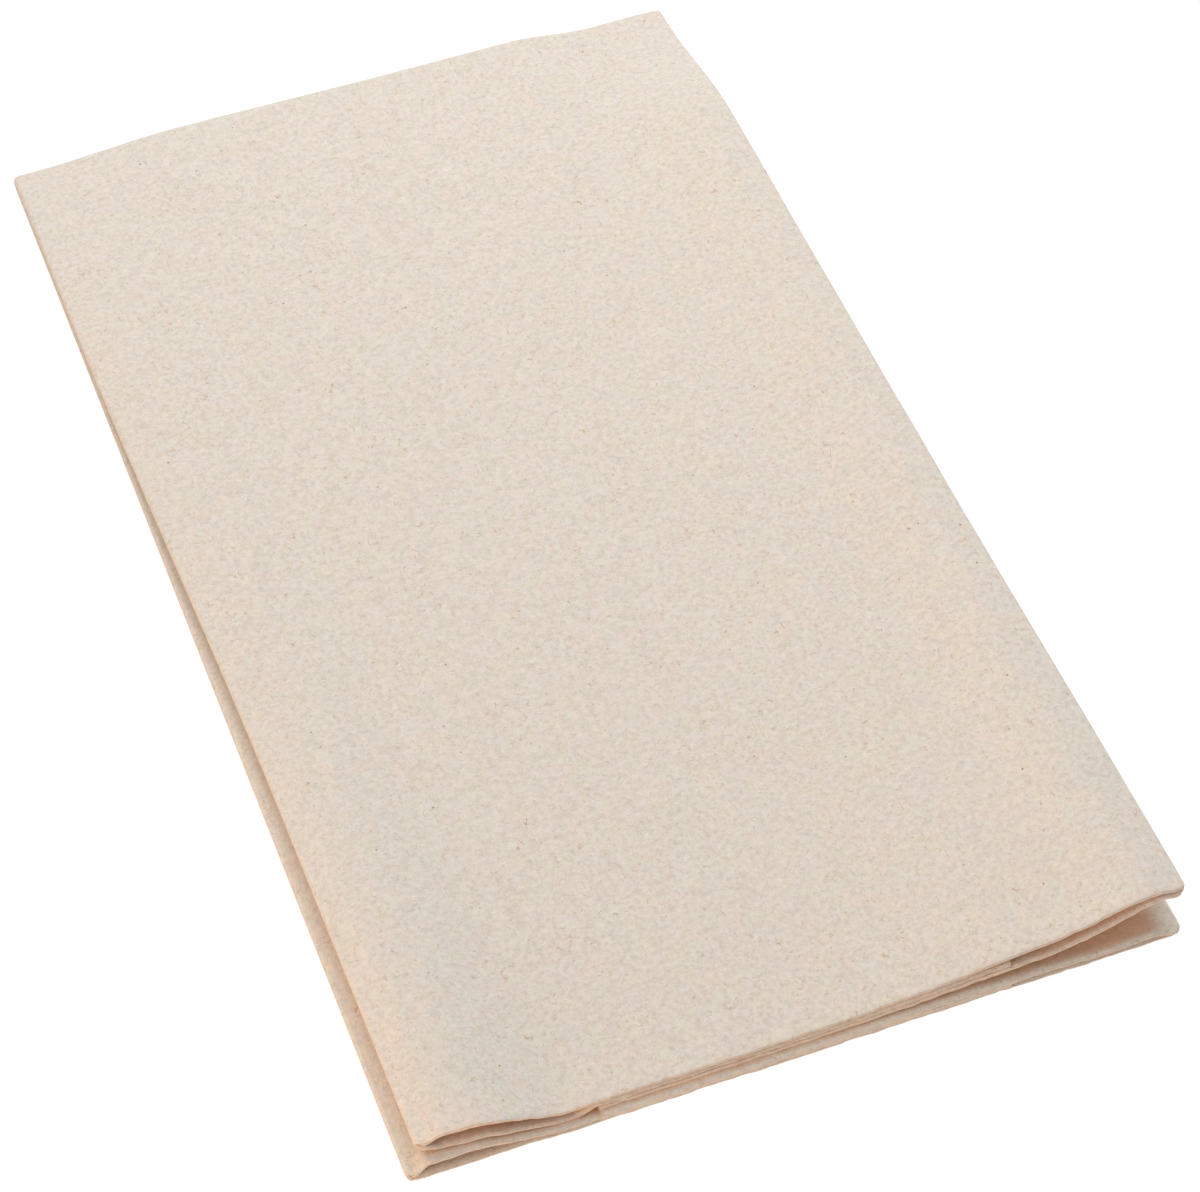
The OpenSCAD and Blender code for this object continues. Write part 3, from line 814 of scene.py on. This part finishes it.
def paper_material(scene):
    """Unbleached soft paper: four tints blended by clouds of noise, times 1 and the tone of the
    grain, a quarter less its hollows squared, with sparse brown fibres and specks, and darkened
    by a painted warm shade between the layers."""
    p = scene.towel_paper
    material = bpy.data.materials.new("unbleached_paper")
    n = Nodes(material)
    spot = n.add("ShaderNodeTexCoord").outputs["Object"]
    cloud = n.noise(spot, p.cloud_size, 3.0, 0.75, "Color")
    red, green, blue = n.add("ShaderNodeSeparateColor", {"Color": cloud}).outputs
    pinkness = n.mix(n.ramp(red, *CLOUD_BLEND), (*p.green, 1.0), (*p.pink, 1.0))
    yellowness = n.mix(n.ramp(green, *CLOUD_BLEND), (*p.lilac, 1.0), (*p.yellow, 1.0))
    tint = n.mix(0.5, pinkness, yellowness)
    grain = n.noise(spot, p.grain_size, 3.0, 0.8)
    hollow = n.math("POWER", n.math("SUBTRACT", 1.0, grain, clamp=True), 2.0)
    depth = n.math("SUBTRACT", HOLLOW_MIDDLE, hollow)
    shade = n.triple("MULTIPLY", depth, tuple(p.grain_tone * v for v in p.grain_warmth))
    tint = n.triple("MULTIPLY", tint, n.triple("ADD", shade, (1.0, 1.0, 1.0)))
    tint = n.mix(fibres(n, spot, p.fibre_size, blue), tint, (*p.fibre, 1.0))
    tint = n.mix(specks(n, spot, p.speck_gap), tint, (*p.speck, 1.0))
    # Painted shade: the colour is multiplied towards a warm, darker tint where layers lie close and
    # shade falls
    painted_shade = n.add("ShaderNodeAttribute", attribute_name="painted_shade").outputs["Fac"]
    warm = n.mix(painted_shade, WHITE, (*p.painted_fold_shade, 1.0))
    tint = n.triple("MULTIPLY", tint, warm)
    bump = n.add("ShaderNodeBump", {"Height": grain, "Distance": p.grain_depth, "Strength": 0.6})
    surface = n.add("ShaderNodeBsdfPrincipled", {
        "Base Color": tint, "Normal": bump.outputs[0], "Roughness": 0.95,
        "Specular IOR Level": 0.15, "Sheen Weight": 0.05, "Sheen Roughness": 0.6})
    n.add("ShaderNodeOutputMaterial", {"Surface": surface.outputs[0]})
    return material


def fibres(n, spot, size, patch):
    """Mask of brown fibres: thin lines where soft noise crosses its middle value, in patches."""
    field = n.noise(spot, size, 0.0)
    line = n.ramp(n.math("ABSOLUTE", n.math("SUBTRACT", field, 0.5)), FIBRE_LINE, 0.0)
    other = n.noise(spot, FIBRE_BREAK * size, 0.0)
    kept = n.math("MULTIPLY", n.ramp(other, *FIBRE_KEPT), n.ramp(patch, *FIBRE_PATCH))
    return n.math("MULTIPLY", n.math("MULTIPLY", line, kept), FIBRE_STRENGTH)


def specks(n, spot, gap):
    """Mask of small dark specks: the middles of a few cells."""
    cell = n.add("ShaderNodeTexVoronoi", {"Vector": spot, "Scale": 1 / gap, "Randomness": 1.0})
    chosen = n.add("ShaderNodeSeparateColor", {"Color": cell.outputs["Color"]}).outputs[1]
    dot = n.ramp(cell.outputs["Distance"], *SPECK_RADIUS)
    held = n.math("MULTIPLY", dot, n.ramp(chosen, *SPECK_CHOSEN))
    return n.math("MULTIPLY", held, SPECK_STRENGTH)


def floor_material():
    """White floor: nearly white to the camera, with a faint shadow of the towel, and warm and
    matte to the light that it sends back up."""
    material = bpy.data.materials.new("white_floor")
    n = Nodes(material)
    matte = n.add("ShaderNodeBsdfDiffuse", {"Color": FLOOR_LIGHT}).outputs[0]
    pale = n.add("ShaderNodeBsdfDiffuse", {"Color": FLOOR_SHADE}).outputs[0]
    glow = n.add("ShaderNodeEmission", {"Color": WHITE, "Strength": FLOOR_GLOW}).outputs[0]
    shown = n.add("ShaderNodeAddShader", {0: pale, 1: glow}).outputs[0]
    surface = n.add("ShaderNodeMixShader", {0: n.shown_white(), 1: matte, 2: shown}).outputs[0]
    n.add("ShaderNodeOutputMaterial", {"Surface": surface})
    return material


def white_world(strength):
    """Plain pale light from all sides, seen as white by the camera."""
    world = bpy.data.worlds.new("studio")
    bpy.context.scene.world = world
    n = Nodes(world)
    light = n.add("ShaderNodeBackground", {"Color": WHITE, "Strength": strength}).outputs[0]
    shown = n.add("ShaderNodeBackground", {"Color": WHITE, "Strength": 1.0}).outputs[0]
    surface = n.add("ShaderNodeMixShader", {0: n.shown_white(), 1: light, 2: shown}).outputs[0]
    n.add("ShaderNodeOutputWorld", {"Surface": surface})


def area_lamp(name, spot, aim, size, power, tint=(1.0, 1.0, 1.0)):
    """A square soft lamp that points at aim."""
    data = bpy.data.lights.new(name, "AREA")
    data.shape = "SQUARE"
    data.size = size
    data.energy = power
    data.color = tint
    lamp = bpy.data.objects.new(name, data)
    lamp.location = spot
    lamp.rotation_euler = (Vector(aim) - Vector(spot)).to_track_quat("-Z", "Y").to_euler()
    bpy.context.collection.objects.link(lamp)


def place_camera(scene, stage):
    """A camera that looks down at the aim point from the given angles and distance."""
    az, el = stage.azimuth, stage.elevation
    view = Vector((math.sin(az) * math.cos(el), math.cos(az) * math.cos(el), -math.sin(el)))
    right = Vector((math.cos(az), -math.sin(az), 0.0))
    up = right.cross(view)
    turned_right = math.cos(stage.roll) * right - math.sin(stage.roll) * up
    turned_up = math.sin(stage.roll) * right + math.cos(stage.roll) * up
    data = bpy.data.cameras.new("camera")
    data.sensor_width = SENSOR_WIDTH
    data.lens = stage.lens_mm
    data.clip_end = SIGHT
    camera = bpy.data.objects.new("camera", data)
    turn = Matrix((turned_right, turned_up, -view)).transposed().to_4x4()
    spot = Vector((stage.aim_x, stage.aim_y, 0.0)) - view * stage.distance
    camera.matrix_world = Matrix.Translation(spot) @ turn
    bpy.context.collection.objects.link(camera)
    scene.camera = camera


class TOWEL_OT_sheet(bpy.types.Operator):
    """Build the folded sheet of paper in place of its plain solid"""

    bl_idname = "towel.sheet"
    bl_label = "Folded sheet"

    def execute(self, context):
        scene = context.scene
        sheet = build_sheet(scene)
        sheet.data.materials.append(paper_material(scene))
        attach(sheet, "root")
        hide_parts("towel")
        return {"FINISHED"}


class TOWEL_OT_stage(bpy.types.Operator):
    """Lay the floor, set the lamps and place the camera"""

    bl_idname = "towel.stage"
    bl_label = "Floor, lamps and camera"

    def execute(self, context):
        stage = context.scene.towel_stage
        bpy.ops.mesh.primitive_plane_add(size=FLOOR_SIDE, location=(0.0, 0.0, 0.0))
        floor = context.object
        floor.name = "floor"
        floor.data.materials.append(floor_material())
        white_world(stage.sky)
        area_lamp("key", stage.key_place, stage.key_aim, stage.key_size, stage.key_power)
        area_lamp("fill", stage.fill_place, stage.fill_aim, stage.fill_size, stage.fill_power,
                  stage.fill_tint)
        place_camera(context.scene, stage)
        context.scene.view_settings.view_transform = "Standard"
        return {"FINISHED"}


class TOWEL_PT_sidebar(bpy.types.Panel):
    """Sizes, colours and steps of the towel"""

    bl_label = "Towel"
    bl_idname = "TOWEL_PT_sidebar"
    bl_space_type = "VIEW_3D"
    bl_region_type = "UI"
    bl_category = "Towel"

    def draw(self, context):
        layout = self.layout
        for operator in OPERATORS:
            layout.operator(operator.bl_idname)
        for name in GROUPS:
            group = getattr(context.scene, name)
            box = layout.box()
            for key in group.bl_rna.properties.keys():
                if key not in ("rna_type", "name"):
                    box.prop(group, key)


OPERATORS = (TOWEL_OT_stage, TOWEL_OT_sheet)
GROUPS = {
    "towel_sheet": TowelSheet,
    "towel_spring": TowelSpring,
    "towel_reach": TowelReach,
    "towel_edges": TowelEdges,
    "towel_mesh": TowelMesh,
    "towel_paper": TowelPaper,
    "towel_stage": TowelStage,
}


def register():
    """Adds the classes, and one group of sizes for each name to the scene."""
    for cls in (*GROUPS.values(), *OPERATORS, TOWEL_PT_sidebar):
        bpy.utils.register_class(cls)
    for name, cls in GROUPS.items():
        setattr(bpy.types.Scene, name, PointerProperty(type=cls))


def unregister():
    """Takes them away again."""
    for name in GROUPS:
        delattr(bpy.types.Scene, name)
    for cls in reversed((*GROUPS.values(), *OPERATORS, TOWEL_PT_sidebar)):
        bpy.utils.unregister_class(cls)


def main():
    """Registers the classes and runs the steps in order."""
    register()
    bpy.ops.towel.stage()
    bpy.ops.towel.sheet()


if __name__ == "__main__":
    main()
